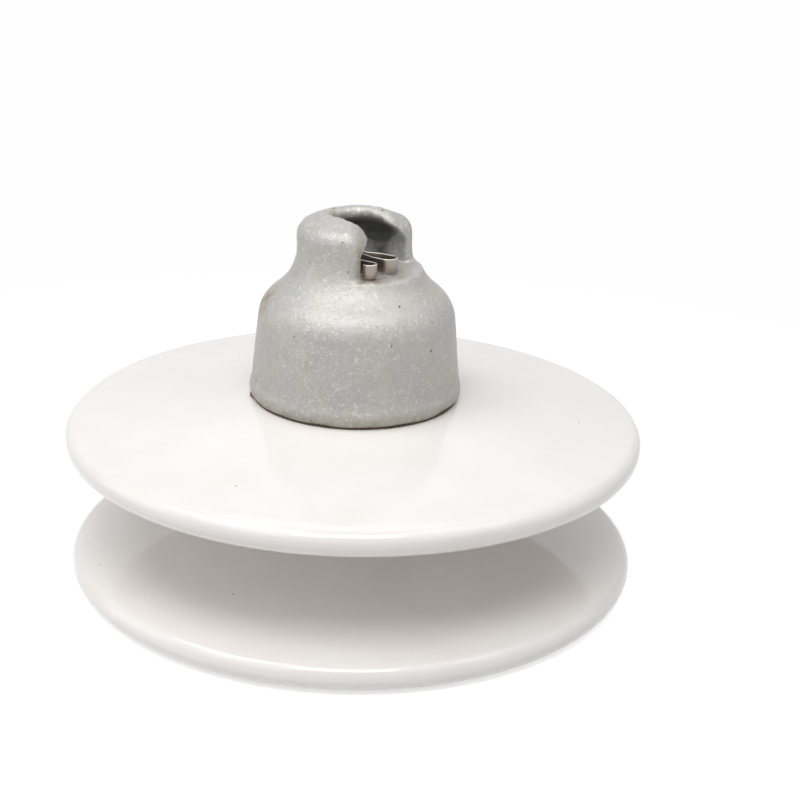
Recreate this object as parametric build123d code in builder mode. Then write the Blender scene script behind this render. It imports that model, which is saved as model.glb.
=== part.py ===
from build123d import *
import os
from math import cos, degrees, radians, sin, sqrt, tan

# Porcelain disc suspension insulator with two open sheds and a ball-and-socket coupling.
# Millimetres. +Z runs up the axis, the origin is the lowest point of the ball end,
# and the socket's mouth faces -Y.

# ---- driving dimensions ----------------------------------------------------------------

# ball end and shank of the pin: the 16 mm coupling
BALL_DIAMETER = 33.3
BALL_HEIGHT = 13.4           # lowest point to the top of the bearing face, at the shank
BALL_BAND = 1.2              # upright band round the ball's widest place
BALL_NOSE_RADIUS = 23.0      # spherical underside
BALL_EDGE_FILLET = 1.0
SHANK_DIAMETER = 17.0
SHANK_FILLET = 2.5           # between the shank and the bearing face

# pitch of a string of these units: bearing face to bearing face
SPACING = 146.0

# sheds
UPPER_SHED_DIAMETER = 255.0
LOWER_SHED_DIAMETER = 253.0
RIM_ROUNDING = 5.75          # radius of both rims, half their thickness
SHED_GAP = 58.0              # centre of one rim to centre of the other
RIM_ABOVE_BALL = 1.65        # lower rim's underside above the ball's lowest point
SHED_SLOPE = 7.0             # degrees, tops and undersides alike
NECK_DIAMETER = 98.0         # porcelain between the sheds
NECK_FILLET_TOP = 20.0
NECK_FILLET_BOTTOM = 22.0

# porcelain head, bore and hollow underside
HEAD_DIAMETER = 61.0
HEAD_ROOT_FILLET = 10.0
HEAD_CROWN_FILLET = 13.0
HEAD_ROOF = 10.5             # porcelain above the bore
BORE_DIAMETER = 35.0
BORE_CROWN_FILLET = 5.0
HOLLOW_DIAMETER = 84.0       # top of the hollow round the shank
HOLLOW_FLARE = 10.0          # how much wider, on the radius, the hollow is at its mouth
HOLLOW_DEPTH = 28.0          # top of the hollow above the lower rim's underside
HOLLOW_FILLET = 7.0
BORE_LIP_FILLET = 2.0

# cap
SKIRT_DIAMETER = 91.6        # just above the bead round the rim
SKIRT_DRAFT = 5.5            # degrees
SHOULDER_ANGLE = 50.8        # degrees off the axis
SHOULDER_FILLET = 16.0
WAIST_FILLET = 22.0
CAP_HEAD_DIAMETER = 52.8
CROWN_CORNER = 7.0
CROWN_RADIUS = 46.0          # spherical top
CROWN_REACH = 17.0           # radius at which the spherical top ends
BEAD_PROUD = 0.9
BEAD_HEIGHT = 7.0
BEAD_FADE = 2.5              # height over which the bead runs into the skirt
BEAD_FOOT_FILLET = 2.4       # the rim's outer bottom corner
BEAD_FILLET = 4.0            # the bead's two bends above it
WAIST_BELOW_FLOOR = 2.2      # where the shoulder's slope meets the head, below the socket's floor
CAP_WALL = 5.4               # skirt
LIP_WALL = 6.6               # inturned rim that keys the cement
LIP_HEIGHT = 4.0
LIP_FILLET = 1.0
CEILING_FILLET = 4.0         # inside corner at the ceiling
INNER_SHOULDER_FILLET = 8.0
ROOF_WEB = 8.0               # iron between the socket's floor and the inside ceiling

# socket in the cap's head
POCKET_CLEARANCE = 0.6       # ball to pocket wall
SLOT_CLEARANCE = 1.5         # shank to slot wall
SLOT_BACK = 2.0              # centre of the slot's round end, behind the axis
ENTRY_CLEARANCE = 1.8        # ball's widest band to where the mouth narrows
SEAT_ROOM = 0.6              # left under a seated ball, above the clip and below it
SOCKET_ROOF = 5.5            # iron above the bearing seat, on the axis
LIP_FACE = 14.0              # flat faces of the two lips, in front of the axis
LIP_NOSE_RADIUS = 11.0       # the lips' upper front corner, seen from the side
LIP_TOP_SLOPE = 11.0         # degrees that the lips' tops fall towards the front
LIP_TOP_START = 12.0         # where that slope leaves the crown, behind the axis
LIP_ROUNDING = 4.0           # the lips' outer edges
SLOT_ROUNDING = 3.0          # top edge of the slot
MOUTH_ROUNDING = 1.5         # upright edges of the mouth
CHANNEL_BACK = 13.0          # rear wall of the clip's channel, behind the axis

# locking clip: one strip bent on edge into a W, with one end curled and one end short
CLIP_HEIGHT = 6.0
CLIP_STRIP = 1.1
CLIP_TIP = 19.7              # front of the middle loop, in front of the axis
CLIP_LOOP_WIDTH = 8.6        # middle loop, outside
CLIP_LOOP_START = 9.5        # where the loop is full width, in front of the axis
CLIP_NECK_WIDTH = 4.4        # the loop's two strands behind it, outside
CLIP_NECK_START = 3.5        # where they begin to spread, in front of the axis
CLIP_NECK_BEND = 5.0         # radius of the bends where they spread
CLIP_LEG_SPREAD = 22.3       # outer legs, outside to outside
CLIP_CURL_WIDTH = 6.9        # curled end, outside
CLIP_CURL_TIP = 18.3         # front of the curled end, in front of the axis
CLIP_CURL_END = 13.5         # where the curl's strand is cut off, in front of the axis
CLIP_SHORT_END = 10.0        # where the short leg is cut off, behind the axis
CLIP_BACK = 26.2             # rear bends, behind the axis
CLIP_CLEARANCE = 0.3         # clip to the floor under it
WINDOW_CLEARANCE = 0.6       # clip to the sides and top of the rear window
BEND_SLACK = 0.05            # straight left between two bends that turn the strip back

# what is cemented in
FIT = 0.05                   # between two curved faces that meet in cement
GASKET_WIDTH = 4.2
GASKET_THICKNESS = 1.6       # at its inner edge
GASKET_PROUD = 0.3           # ring outside the cap's rim
GASKET_SEAM_ANGLE = 132.0    # where the strip's two ends meet
GASKET_TAIL = 7.0            # degrees of the strip that stand away from the ring
GASKET_TAIL_PROUD = 1.5
HEAD_PAD_DIAMETER = 40.0
HEAD_PAD_THICKNESS = 2.0
PIN_PAD_THICKNESS = 1.6
CEMENT_RECESS = 1.5          # pin cement stops this far inside the bore's mouth
PIN_HEAD_DIAMETER = 26.0
PIN_GROOVE_DIAMETER = 19.0
PIN_COLLARS = 2
PIN_COLLAR_PITCH = 13.0
PIN_COLLAR_LAND = 3.0

NEAR = 0.01                  # what counts as the same place when edges are picked

# ---- levels and radii that follow ------------------------------------------------------

ball_r = BALL_DIAMETER / 2
shank_r = SHANK_DIAMETER / 2
nose_height = BALL_NOSE_RADIUS - sqrt(BALL_NOSE_RADIUS**2 - ball_r**2)
bearing_slope = (BALL_HEIGHT - nose_height - BALL_BAND) / (ball_r - shank_r)

seat_z = BALL_HEIGHT + SPACING
pocket_r = ball_r + POCKET_CLEARANCE
slot_r = shank_r + SLOT_CLEARANCE
socket_depth = BALL_HEIGHT + CLIP_HEIGHT + SEAT_ROOM
floor_z = seat_z - socket_depth
crown_z = seat_z + SOCKET_ROOF
ceiling_z = floor_z - ROOF_WEB

lower_rim_z = RIM_ABOVE_BALL + RIM_ROUNDING
upper_rim_z = lower_rim_z + SHED_GAP
slope_sin = sin(radians(SHED_SLOPE))
slope_cos = cos(radians(SHED_SLOPE))
slope_tan = tan(radians(SHED_SLOPE))


def shed_top_z(rim_z, shed_diameter, r):
    """Height of a shed's upper surface at radius r."""
    start = shed_diameter / 2 - RIM_ROUNDING + RIM_ROUNDING * slope_sin
    return rim_z + RIM_ROUNDING * slope_cos + (start - r) * slope_tan


def shed_under_z(rim_z, shed_diameter, r):
    """Height of a shed's underside at radius r."""
    start = shed_diameter / 2 - RIM_ROUNDING - RIM_ROUNDING * slope_sin
    return rim_z - RIM_ROUNDING * slope_cos + (start - r) * slope_tan


def rim_points(rim_z, shed_diameter):
    """Where a rim's rounding starts on the top, its outermost point, and where it ends."""
    centre = shed_diameter / 2 - RIM_ROUNDING
    top = (centre + RIM_ROUNDING * slope_sin, rim_z + RIM_ROUNDING * slope_cos)
    outer = (shed_diameter / 2, rim_z)
    under = (centre - RIM_ROUNDING * slope_sin, rim_z - RIM_ROUNDING * slope_cos)
    return top, outer, under


# ---- porcelain shell: head, two sheds, neck and bore in one fired piece -----------------

head_r = HEAD_DIAMETER / 2
head_top_z = ceiling_z - HEAD_PAD_THICKNESS
neck_r = NECK_DIAMETER / 2
bore_r = BORE_DIAMETER / 2
bore_top_z = head_top_z - HEAD_ROOF
hollow_r = HOLLOW_DIAMETER / 2
hollow_top_z = RIM_ABOVE_BALL + HOLLOW_DEPTH
hollow_mouth_r = hollow_r + HOLLOW_FLARE

upper_top, upper_outer, upper_under = rim_points(upper_rim_z, UPPER_SHED_DIAMETER)
lower_top, lower_outer, lower_under = rim_points(lower_rim_z, LOWER_SHED_DIAMETER)


def head_profile(grow):
    """Porcelain head and top of the upper shed, with the radius grown by a clearance."""
    wall_r = head_r + grow
    return FilletPolyline(
        (0, head_top_z),
        (wall_r, head_top_z),
        (wall_r, shed_top_z(upper_rim_z, UPPER_SHED_DIAMETER, wall_r) + grow),
        upper_top,
        radius=[HEAD_CROWN_FILLET, HEAD_ROOT_FILLET],
    )


def bore_profile(shrink):
    """Inside of the porcelain from the top of the hollow up to the axis."""
    wall_r = bore_r - shrink
    return FilletPolyline(
        (wall_r, hollow_top_z + 2 * BORE_LIP_FILLET),
        (wall_r, bore_top_z),
        (0, bore_top_z),
        radius=[BORE_CROWN_FILLET],
    )


with BuildPart() as shell:
    with BuildSketch(Plane.XZ):
        with BuildLine():
            head = head_profile(0)
            ThreePointArc(upper_top, upper_outer, upper_under)
            waist = FilletPolyline(
                upper_under,
                (neck_r, shed_under_z(upper_rim_z, UPPER_SHED_DIAMETER, neck_r)),
                (neck_r, shed_top_z(lower_rim_z, LOWER_SHED_DIAMETER, neck_r)),
                lower_top,
                radius=[NECK_FILLET_TOP, NECK_FILLET_BOTTOM],
            )
            ThreePointArc(lower_top, lower_outer, lower_under)
            bore = bore_profile(0)
            FilletPolyline(
                lower_under,
                (hollow_mouth_r, shed_under_z(lower_rim_z, LOWER_SHED_DIAMETER, hollow_mouth_r)),
                (hollow_r, hollow_top_z),
                (bore_r, hollow_top_z),
                bore @ 0,
                radius=[HOLLOW_FILLET, HOLLOW_FILLET, BORE_LIP_FILLET],
            )
            Line(bore @ 1, head @ 0)
        make_face()
    revolve(axis=Axis.Z)
shell.part.label = "shell"

# ---- cap: cast bell with the ball socket in its head ------------------------------------

skirt_r = SKIRT_DIAMETER / 2
cap_head_r = CAP_HEAD_DIAMETER / 2
gasket_inner_r = skirt_r + BEAD_PROUD + GASKET_PROUD - GASKET_WIDTH
cap_base_z = shed_top_z(upper_rim_z, UPPER_SHED_DIAMETER, gasket_inner_r) + GASKET_THICKNESS
bead_top_z = cap_base_z + BEAD_HEIGHT
draft_tan = tan(radians(SKIRT_DRAFT))
shoulder_tan = tan(radians(SHOULDER_ANGLE))

# the shoulder's slope passes through the waist at the level of the socket's floor
waist_z = floor_z - WAIST_BELOW_FLOOR
shoulder_z = (
    skirt_r - cap_head_r + bead_top_z * draft_tan - waist_z * shoulder_tan
) / (draft_tan - shoulder_tan)
shoulder_r = skirt_r - (shoulder_z - bead_top_z) * draft_tan
crown_drop = CROWN_RADIUS - sqrt(CROWN_RADIUS**2 - CROWN_REACH**2)
crown_edge_z = crown_z - crown_drop
crown_corner_z = crown_edge_z - (cap_head_r - CROWN_REACH) * CROWN_REACH / (CROWN_RADIUS - crown_drop)
crown_mid = CROWN_REACH / 2
crown_mid_z = crown_z - CROWN_RADIUS + sqrt(CROWN_RADIUS**2 - crown_mid**2)

# inside, up to the ceiling: an inturned lip, the skirt's wall, and a sloped shoulder
lip_inner_r = skirt_r - LIP_WALL
inner_shoulder_z = shoulder_z - CAP_WALL * (1 / cos(radians(SHOULDER_ANGLE)) - 1) / shoulder_tan
inner_shoulder_r = shoulder_r - CAP_WALL
inner_skirt_r = skirt_r - CAP_WALL
inner_lip_z = cap_base_z + LIP_HEIGHT
ceiling_r = inner_shoulder_r - (ceiling_z - inner_shoulder_z) * shoulder_tan

entry_z = floor_z + nose_height + BALL_BAND + ENTRY_CLEARANCE
mouth_narrow_z = entry_z + pocket_r - slot_r
pocket_wall_z = seat_z - (pocket_r - shank_r) * bearing_slope
channel_top_z = floor_z + CLIP_CLEARANCE + CLIP_HEIGHT + WINDOW_CLEARANCE
window_half = CLIP_LEG_SPREAD / 2 + WINDOW_CLEARANCE
past_head = cap_head_r + WAIST_FILLET
lip_corner_z = crown_z - (LIP_FACE + LIP_TOP_START) * tan(radians(LIP_TOP_SLOPE))


def cavity_profile(shrink):
    """Inside of the cap from its ceiling down to its rim, with the radius made smaller."""
    return FilletPolyline(
        (0, ceiling_z),
        (ceiling_r - shrink, ceiling_z),
        (inner_shoulder_r - shrink, inner_shoulder_z),
        (inner_skirt_r - shrink, inner_lip_z),
        (lip_inner_r - shrink, cap_base_z + LIP_HEIGHT / 2),
        (lip_inner_r - shrink, cap_base_z),
        radius=[CEILING_FILLET, INNER_SHOULDER_FILLET, LIP_FILLET, 0],
    )


with BuildPart() as cap:
    with BuildSketch(Plane.XZ):
        with BuildLine():
            outside = FilletPolyline(
                (lip_inner_r, cap_base_z),
                (skirt_r + BEAD_PROUD, cap_base_z),
                (skirt_r + BEAD_PROUD, bead_top_z - BEAD_FADE),
                (skirt_r, bead_top_z),
                (shoulder_r, shoulder_z),
                (cap_head_r, waist_z),
                (cap_head_r, crown_corner_z),
                (CROWN_REACH, crown_edge_z),
                radius=[
                    BEAD_FOOT_FILLET,
                    BEAD_FILLET,
                    BEAD_FILLET,
                    SHOULDER_FILLET,
                    WAIST_FILLET,
                    CROWN_CORNER,
                ],
            )
            ThreePointArc((CROWN_REACH, crown_edge_z), (crown_mid, crown_mid_z), (0, crown_z))
            Line((0, crown_z), (0, ceiling_z))
            cavity_profile(0)
        make_face()
    revolve(axis=Axis.Z)
    # the head is open in front of the lips, down to the socket's floor
    with BuildSketch(Plane.YZ):
        with BuildLine():
            nose_line = FilletPolyline(
                (-past_head, floor_z),
                (-LIP_FACE, floor_z),
                (-LIP_FACE, lip_corner_z),
                (LIP_TOP_START, crown_z),
                radius=[0, LIP_NOSE_RADIUS],
            )
            Polyline(nose_line @ 1, (-past_head, crown_z), nose_line @ 0)
        make_face()
    extrude(amount=past_head, both=True, mode=Mode.SUBTRACT)
    # round pocket with the conical bearing seat
    with BuildSketch(Plane.XZ):
        with BuildLine():
            Polyline(
                (0, floor_z),
                (pocket_r, floor_z),
                (pocket_r, pocket_wall_z),
                (shank_r, seat_z),
                (0, seat_z),
                close=True,
            )
        make_face()
    revolve(axis=Axis.Z, mode=Mode.SUBTRACT)
    # mouth that lets the ball in below the seat
    with BuildSketch(Plane.XZ):
        Polygon(
            (-pocket_r, floor_z),
            (pocket_r, floor_z),
            (pocket_r, entry_z),
            (slot_r, mouth_narrow_z),
            (-slot_r, mouth_narrow_z),
            (-pocket_r, entry_z),
            align=None,
        )
    extrude(amount=past_head, mode=Mode.SUBTRACT)
    # slot for the shank, round at its end
    with BuildSketch(Plane.XY.offset(entry_z)):
        with Locations((0, SLOT_BACK)):
            Circle(slot_r)
            Rectangle(2 * slot_r, past_head, align=(Align.CENTER, Align.MAX))
    extrude(amount=crown_z - entry_z, mode=Mode.SUBTRACT)
    # channel in which the clip slides, and its narrower window through the rear wall
    with BuildSketch(Plane.XY.offset(floor_z)):
        with Locations((0, CHANNEL_BACK / 2)):
            Rectangle(2 * pocket_r, CHANNEL_BACK)
        with Locations((0, past_head / 2)):
            Rectangle(2 * window_half, past_head)
    extrude(amount=channel_top_z - floor_z, mode=Mode.SUBTRACT)
    # the lips' outer edges, then the slot's top edge and the mouth's upright edges
    above_floor = cap.edges().filter_by(lambda e: e.bounding_box().max.Z > floor_z + NEAR)
    nose_faces = cap.faces().filter_by(
        lambda f: abs(f.normal_at().X) < NEAR and f.center().Y < -LIP_FACE + LIP_NOSE_RADIUS
    )
    nose_edges = nose_faces.edges().filter_by(Axis.X, reverse=True)
    fillet(
        [e for e in nose_edges if e in above_floor and abs((e @ 0.5).X) > pocket_r + NEAR],
        LIP_ROUNDING,
    )
    fillet(
        cap.edges()
        .filter_by(Axis.Z, reverse=True)
        .filter_by(lambda e: (e @ 0.5).Z > seat_z)
        .filter_by(lambda e: e.bounding_box().max.X < slot_r + NEAR)
        .filter_by(lambda e: e.bounding_box().min.X > -slot_r - NEAR),
        SLOT_ROUNDING,
    )
    fillet(
        cap.edges()
        .filter_by(Axis.Z)
        .filter_by(lambda e: abs((e @ 0.5).Y + LIP_FACE) < NEAR)
        .filter_by(lambda e: abs(abs((e @ 0.5).X) - pocket_r) < NEAR),
        MOUTH_ROUNDING,
    )
cap.part.label = "cap"

# ---- locking clip ----------------------------------------------------------------------

strip_half = CLIP_STRIP / 2
neck_x = CLIP_NECK_WIDTH / 2 - strip_half
loop_x = CLIP_LOOP_WIDTH / 2 - strip_half
leg_x = CLIP_LEG_SPREAD / 2 - strip_half
curl_x = leg_x + CLIP_CURL_WIDTH - CLIP_STRIP
tip_y = -CLIP_TIP + strip_half
curl_y = -CLIP_CURL_TIP + strip_half
back_y = CLIP_BACK - strip_half
loop_turn = loop_x - BEND_SLACK
curl_turn = (curl_x - leg_x) / 2 - BEND_SLACK
back_turn = (leg_x - neck_x) / 2 - BEND_SLACK

with BuildPart() as locking_clip:
    with BuildSketch(Plane.XY.offset(floor_z + CLIP_CLEARANCE)):
        with BuildLine():
            FilletPolyline(
                (-curl_x, -CLIP_CURL_END),
                (-curl_x, curl_y),
                (-leg_x, curl_y),
                (-leg_x, back_y),
                (-neck_x, back_y),
                (-neck_x, -CLIP_NECK_START),
                (-loop_x, -CLIP_LOOP_START),
                (-loop_x, tip_y),
                (loop_x, tip_y),
                (loop_x, -CLIP_LOOP_START),
                (neck_x, -CLIP_NECK_START),
                (neck_x, back_y),
                (leg_x, back_y),
                (leg_x, CLIP_SHORT_END),
                radius=[
                    curl_turn,
                    curl_turn,
                    back_turn,
                    back_turn,
                    CLIP_NECK_BEND,
                    CLIP_NECK_BEND,
                    loop_turn,
                    loop_turn,
                    CLIP_NECK_BEND,
                    CLIP_NECK_BEND,
                    back_turn,
                    back_turn,
                ],
            )
        trace(line_width=CLIP_STRIP)
    extrude(amount=CLIP_HEIGHT)
locking_clip.part.label = "locking_clip"

# ---- gasket strip under the cap's rim ---------------------------------------------------

gasket_mid_r = gasket_inner_r + GASKET_WIDTH / 2
gasket_gap = degrees(GASKET_THICKNESS / gasket_mid_r)
tail_angle = radians(GASKET_SEAM_ANGLE)
tail_r = gasket_mid_r + GASKET_TAIL_PROUD
tail_end = (tail_r * cos(tail_angle), tail_r * sin(tail_angle))

with BuildPart() as rim_gasket:
    with BuildSketch(Plane.XY.offset(cap_base_z)):
        with BuildLine():
            ring = CenterArc(
                (0, 0),
                gasket_mid_r,
                GASKET_SEAM_ANGLE + GASKET_TAIL,
                360 - GASKET_TAIL - gasket_gap,
            )
            Line(ring @ 0, tail_end)
        trace(line_width=GASKET_WIDTH)
    extrude(amount=-2 * GASKET_THICKNESS)
    with BuildSketch(Plane.XZ):
        past_gasket = tail_r + GASKET_WIDTH
        Polygon(
            (0, upper_rim_z),
            (past_gasket, upper_rim_z),
            (past_gasket, shed_top_z(upper_rim_z, UPPER_SHED_DIAMETER, past_gasket) + FIT),
            (0, shed_top_z(upper_rim_z, UPPER_SHED_DIAMETER, 0) + FIT),
            align=None,
        )
    revolve(axis=Axis.Z, mode=Mode.SUBTRACT)
rim_gasket.part.label = "rim_gasket"

# ---- pad between the porcelain head and the cap's ceiling -------------------------------

with BuildPart() as head_pad:
    with BuildSketch(Plane.XY.offset(head_top_z)):
        Circle(HEAD_PAD_DIAMETER / 2)
    extrude(amount=HEAD_PAD_THICKNESS)
head_pad.part.label = "head_pad"

# ---- cement between the cap and the porcelain head --------------------------------------

with BuildPart() as cap_cement:
    with BuildSketch(Plane.XZ):
        with BuildLine():
            filled = cavity_profile(FIT)
            Polyline(filled @ 1, (0, cap_base_z), filled @ 0)
        make_face()
        with BuildLine():
            taken = head_profile(FIT)
            Polyline(taken @ 1, (0, (taken @ 1).Y), taken @ 0)
        make_face(mode=Mode.SUBTRACT)
        with Locations((0, ceiling_z)):
            Rectangle(HEAD_PAD_DIAMETER + 2 * FIT, 2 * HEAD_PAD_THICKNESS, mode=Mode.SUBTRACT)
    revolve(axis=Axis.Z)
cap_cement.part.label = "cap_cement"

# ---- pin: forged in one piece with the ball end -----------------------------------------

pin_top_z = bore_top_z - PIN_PAD_THICKNESS
pin_head_r = PIN_HEAD_DIAMETER / 2
pin_groove_r = PIN_GROOVE_DIAMETER / 2
ball_mid = ball_r / 2
ball_mid_z = BALL_NOSE_RADIUS - sqrt(BALL_NOSE_RADIUS**2 - ball_mid**2)


def pin_head_points(grow):
    """Corners of the pin's head from the top down: conical collars that key the cement."""
    points = [(0, pin_top_z)]
    for i in range(PIN_COLLARS):
        top_z = pin_top_z - i * PIN_COLLAR_PITCH
        last = i == PIN_COLLARS - 1
        foot_r = shank_r if last else pin_groove_r
        points.append((pin_head_r + grow, top_z))
        points.append((pin_head_r + grow, top_z - PIN_COLLAR_LAND))
        points.append((foot_r + grow, top_z - PIN_COLLAR_PITCH))
    return points


with BuildPart() as pin:
    with BuildSketch(Plane.XZ):
        with BuildLine():
            nose = ThreePointArc((0, 0), (ball_mid, ball_mid_z), (ball_r, nose_height))
            pin_head = Polyline(*pin_head_points(0))
            FilletPolyline(
                nose @ 1,
                (ball_r, nose_height + BALL_BAND),
                (shank_r, BALL_HEIGHT),
                pin_head @ 1,
                radius=[BALL_EDGE_FILLET, SHANK_FILLET],
            )
            Line(pin_head @ 0, nose @ 0)
        make_face()
    revolve(axis=Axis.Z)
pin.part.label = "pin"

# ---- pad on the pin's head, and the cement round the pin --------------------------------

with BuildPart() as pin_pad:
    with BuildSketch(Plane.XY.offset(pin_top_z)):
        Circle(bore_r - BORE_CROWN_FILLET)
    extrude(amount=PIN_PAD_THICKNESS)
pin_pad.part.label = "pin_pad"

with BuildPart() as pin_cement:
    with BuildSketch(Plane.XZ):
        with BuildLine():
            plug = FilletPolyline(
                (bore_r - FIT, hollow_top_z + BORE_LIP_FILLET + CEMENT_RECESS),
                (bore_r - FIT, pin_top_z),
                (0, pin_top_z),
                radius=[BORE_CROWN_FILLET],
            )
            Polyline(plug @ 0, (0, (plug @ 0).Y), plug @ 1)
        make_face()
        with BuildLine():
            held = Polyline(*pin_head_points(FIT))
            Polyline(held @ 1, (shank_r + FIT, 0), (0, 0), held @ 0)
        make_face(mode=Mode.SUBTRACT)
    revolve(axis=Axis.Z)
pin_cement.part.label = "pin_cement"

# ---- files -----------------------------------------------------------------------------

os.makedirs("parts", exist_ok=True)
for piece in (
    cap,
    locking_clip,
    rim_gasket,
    cap_cement,
    head_pad,
    shell,
    pin_pad,
    pin_cement,
    pin,
):
    export_step(piece.part, f"parts/{piece.part.label}.step")
print(f"pitch {SPACING} mm, height {crown_z:.1f} mm, socket floor at {floor_z:.1f} mm")
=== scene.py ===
"""Looks of a porcelain disc suspension insulator: two glazed sheds, a galvanised
cast cap with a ball socket and its locking clip, and a forged pin with a ball end.

Sizes are in millimetres in the classes of the pieces, and in metres in the studio.
"""

import logging
import math
from dataclasses import dataclass
from enum import Enum

import bmesh
import bpy
import numpy as np
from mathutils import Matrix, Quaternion, Vector, noise


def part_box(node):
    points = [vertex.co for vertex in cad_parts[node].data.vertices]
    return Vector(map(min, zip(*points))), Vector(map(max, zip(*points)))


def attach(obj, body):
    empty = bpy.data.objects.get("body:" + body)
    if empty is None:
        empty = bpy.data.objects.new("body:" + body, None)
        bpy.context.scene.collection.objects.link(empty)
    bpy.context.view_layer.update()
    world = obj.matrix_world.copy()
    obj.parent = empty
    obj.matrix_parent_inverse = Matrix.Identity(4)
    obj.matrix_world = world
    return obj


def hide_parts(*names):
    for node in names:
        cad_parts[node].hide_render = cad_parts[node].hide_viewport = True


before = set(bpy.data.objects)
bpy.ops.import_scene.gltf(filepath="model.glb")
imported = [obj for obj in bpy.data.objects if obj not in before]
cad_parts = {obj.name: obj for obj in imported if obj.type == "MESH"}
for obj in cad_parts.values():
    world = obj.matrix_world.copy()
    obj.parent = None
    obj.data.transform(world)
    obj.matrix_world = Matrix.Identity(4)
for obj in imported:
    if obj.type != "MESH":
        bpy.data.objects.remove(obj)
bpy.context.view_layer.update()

MM = 0.001
log = logging.getLogger("insulator")


class Body(Enum):
    """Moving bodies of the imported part."""

    UNIT = "unit"
    CLIP = "clip"


class Slot(Enum):
    """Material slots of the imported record."""

    IRON = "galvanised_iron"
    STRIP = "stainless_strip"
    FELT = "gasket_felt"
    CEMENT = "cement"
    RUBBER = "pad_rubber"
    PORCELAIN = "glazed_porcelain"
    STEEL = "galvanised_steel"


# ---- colour and node helpers ------------------------------------------------------------


def linear(code: str) -> tuple[float, float, float, float]:
    """Turn an sRGB hex colour into linear RGBA.

    Args:
        code: Six hex digits, with or without a leading #.

    Returns:
        Red, green, blue and an alpha of 1, linear.
    """
    digits = code.lstrip("#")
    channels = (int(digits[i : i + 2], 16) / 255 for i in (0, 2, 4))
    red, green, blue = (
        c / 12.92 if c <= 0.04045 else ((c + 0.055) / 1.055) ** 2.4 for c in channels
    )
    return red, green, blue, 1.0


def add_node(
    tree: bpy.types.NodeTree,
    kind: str,
    inputs: dict | None = None,
    stops: list[tuple[float, str | float]] | None = None,
    **settings: object,
) -> bpy.types.Node:
    """Add one node with its settings, its values and its links.

    Args:
        tree: Node tree that gets the node.
        kind: Node type without the ShaderNode prefix.
        inputs: Socket name or number to a value, or to an output socket to link.
        stops: Positions with hex colours or grey levels, for a colour ramp.
        settings: Properties of the node itself.

    Returns:
        The new node.
    """
    node = tree.nodes.new("ShaderNode" + kind)
    for name, value in settings.items():
        setattr(node, name, value)
    for key, value in (inputs or {}).items():
        if isinstance(value, bpy.types.NodeSocket):
            tree.links.new(value, node.inputs[key])
        else:
            node.inputs[key].default_value = value
    if stops:
        ramp = node.color_ramp
        while len(ramp.elements) < len(stops):
            ramp.elements.new(1.0)
        for element, (position, value) in zip(ramp.elements, stops):
            element.position = position
            is_code = isinstance(value, str)
            element.color = linear(value) if is_code else (value, value, value, 1.0)
    return node


def new_material(name: str) -> tuple[bpy.types.Material, bpy.types.NodeTree, bpy.types.Node]:
    """Make a material with an empty Principled shader linked to its output.

    Args:
        name: Name of the finish.

    Returns:
        The material, its node tree and the Principled node.
    """
    material = bpy.data.materials.new(name)
    material.use_nodes = True
    tree = material.node_tree
    tree.nodes.clear()
    shader = add_node(tree, "BsdfPrincipled")
    add_node(tree, "OutputMaterial", {"Surface": shader.outputs[0]})
    return material, tree, shader


def per_metre(size_mm: float) -> float:
    """Texture scale at which one pattern cell is size_mm across."""
    return 1.0 / (size_mm * MM)


# ---- finishes ---------------------------------------------------------------------------


@dataclass(frozen=True)
class GlazedPorcelain:
    """White electrical porcelain, dipped in a clear glaze and fired.

    The body is an even warm white. The glaze gives a sharp thin reflection that
    wavers slightly where it pooled, and a few iron specks show through it.
    """

    body: str = "#F6F3F0"
    pooled: str = "#F3EFEB"
    speck: str = "#6E6358"
    ior: float = 1.52
    roughness: float = 0.055
    pool_mm: float = 30.0
    ripple_mm: float = 14.0
    ripple_strength: float = 0.25
    ripple_depth_mm: float = 0.12
    speck_mm: float = 18.0
    speck_share: float = 0.02

    def build(self) -> bpy.types.Material:
        """Build the finish.

        Returns:
            The material.
        """
        material, tree, shader = new_material("glazed_porcelain")
        place = add_node(tree, "TexCoord").outputs["Object"]
        pool = add_node(
            tree, "TexNoise", {"Vector": place, "Scale": per_metre(self.pool_mm), "Detail": 3.0}
        )
        white = add_node(
            tree, "ValToRGB", {"Fac": pool.outputs[0]}, [(0.35, self.body), (0.7, self.pooled)]
        )
        cells = add_node(
            tree, "TexVoronoi", {"Vector": place, "Scale": per_metre(self.speck_mm)}
        )
        spot = add_node(
            tree,
            "Math",
            {0: cells.outputs["Distance"], 1: self.speck_share},
            operation="LESS_THAN",
        )
        colour = add_node(
            tree,
            "Mix",
            {"Factor": spot.outputs[0], "A": white.outputs[0], "B": linear(self.speck)},
            data_type="RGBA",
        )
        ripple = add_node(
            tree, "TexNoise", {"Vector": place, "Scale": per_metre(self.ripple_mm), "Detail": 1.0}
        )
        bump = add_node(
            tree,
            "Bump",
            {
                "Strength": self.ripple_strength,
                "Distance": self.ripple_depth_mm * MM,
                "Height": ripple.outputs[0],
            },
        )
        shader.inputs["IOR"].default_value = self.ior
        shader.inputs["Roughness"].default_value = self.roughness
        tree.links.new(colour.outputs["Result"], shader.inputs["Base Color"])
        tree.links.new(bump.outputs[0], shader.inputs["Normal"])
        return material


@dataclass(frozen=True)
class Pocket:
    """Limits of the painted shade and soot inside the ball socket and its fades, in millimetres.
    """

    radius: float = 17.7
    front: float = -14.5
    floor: float = 139.6
    top: float = 161.0
    wall_fade: float = 0.7
    front_fade: float = 9.0
    floor_fade: float = 2.0
    top_fade: float = 6.0


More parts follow.
